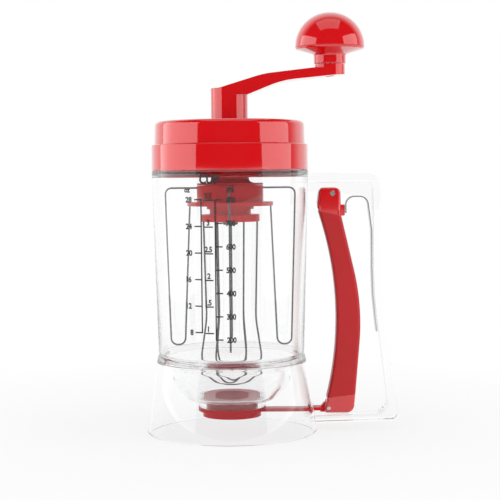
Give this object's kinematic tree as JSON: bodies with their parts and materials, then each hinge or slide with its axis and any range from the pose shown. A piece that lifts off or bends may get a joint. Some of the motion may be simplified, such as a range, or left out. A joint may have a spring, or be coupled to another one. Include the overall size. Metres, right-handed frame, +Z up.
{
  "type": "pancake batter dispenser",
  "caption": "Clear batter jar with a hand-cranked pair of counter-turning whisks in its lift-off lid and a squeeze trigger that opens a gate under the outlet.",
  "frame": {"origin": "on the jar's axis, in the plane that the skirt stands on", "axes": "+Z up along the jar's axis, +X from the axis towards the handle"},
  "size_m": [0.1629, 0.1098, 0.269],
  "materials": {
    "clear_plastic": "polished clear",
    "red_plastic": "gloss",
    "red_grip": "satin",
    "red_silicone": "satin",
    "clear_silicone": "satin",
    "steel": "polished",
    "gear_plastic": "satin",
    "bush_plastic": "satin"
  },
  "bodies": {
    "jar": {"jar_shell": "clear_plastic", "jar_bowl": "clear_plastic", "base_skirt": "clear_plastic", "handle_frame": "clear_plastic", "outlet_seal": "red_silicone", "valve_housing": "red_plastic", "trigger_pivot_pin": "steel", "leaf_spring": "steel"},
    "lid": {"lid_cap": "red_plastic", "lid_seal": "clear_silicone", "gear_carrier": "red_plastic", "carrier_screws": "steel", "shaft_bush": "bush_plastic", "planet_pins": "steel"},
    "crank": {"crank_arm": "red_plastic", "drive_shaft": "steel", "sun_gear": "gear_plastic", "inner_whisk_hub": "red_plastic", "inner_whisk_loop_1": "steel", "inner_whisk_loop_2": "steel", "inner_whisk_loop_3": "steel", "shaft_end_screw": "steel", "knob_screw": "steel"},
    "knob": {"knob_base": "red_plastic", "knob_cap": "red_plastic"},
    "outer_whisk": {"ring_gear_cup": "red_plastic", "outer_whisk_loop_1": "steel", "outer_whisk_loop_2": "steel", "outer_whisk_loop_3": "steel", "outer_whisk_loop_4": "steel"},
    "planet_1": {"planet_gear_1": "gear_plastic"},
    "planet_2": {"planet_gear_2": "gear_plastic"},
    "planet_3": {"planet_gear_3": "gear_plastic"},
    "trigger": {"trigger_lever": "red_plastic", "trigger_grip": "red_grip", "link_pin": "steel"},
    "gate": {"gate_slide": "red_plastic"}
  },
  "joints": [
    {"name": "lid_lift", "type": "slide", "parent": "jar", "child": "lid", "axis": [0, 0, 1], "range_m": [0, 0.16]},
    {"name": "crank_turn", "type": "hinge", "parent": "lid", "child": "crank", "pos_m": [0, 0, 0.2], "axis": [0, 0, 1], "continuous": true},
    {"name": "knob_turn", "type": "hinge", "parent": "crank", "child": "knob", "pos_m": [0.0647, 0, 0.236], "axis": [0, 0, 1], "continuous": true},
    {"name": "outer_whisk_turn", "type": "hinge", "parent": "lid", "child": "outer_whisk", "pos_m": [0, 0, 0.15], "axis": [0, 0, 1], "continuous": true},
    {"name": "planet_1_turn", "type": "hinge", "parent": "lid", "child": "planet_1", "pos_m": [0.012, 0, 0.153], "axis": [0, 0, 1], "continuous": true},
    {"name": "planet_2_turn", "type": "hinge", "parent": "lid", "child": "planet_2", "pos_m": [-0.006, 0.01039, 0.153], "axis": [0, 0, 1], "continuous": true},
    {"name": "planet_3_turn", "type": "hinge", "parent": "lid", "child": "planet_3", "pos_m": [-0.006, -0.01039, 0.153], "axis": [0, 0, 1], "continuous": true},
    {"name": "trigger_pull", "type": "hinge", "parent": "jar", "child": "trigger", "pos_m": [0.0657, 0, 0.1534], "axis": [0, -1, 0], "range_deg": [0, 6.5], "stiffness_Nm_per_rad": 4, "springref_deg": -2.86, "deforming": ["leaf_spring"]},
    {"name": "gate_pull", "type": "slide", "parent": "jar", "child": "gate", "axis": [1, 0, 0], "range_m": [0, 0.016]}
  ],
  "couplings": [
    {"joint": "outer_whisk_turn", "follows": "crank_turn", "ratio": -0.33333},
    {"joint": "planet_1_turn", "follows": "crank_turn", "ratio": -1},
    {"joint": "planet_2_turn", "follows": "crank_turn", "ratio": -1},
    {"joint": "planet_3_turn", "follows": "crank_turn", "ratio": -1},
    {"joint": "gate_pull", "follows": "trigger_pull", "m_per_rad": 0.1391}
  ]
}
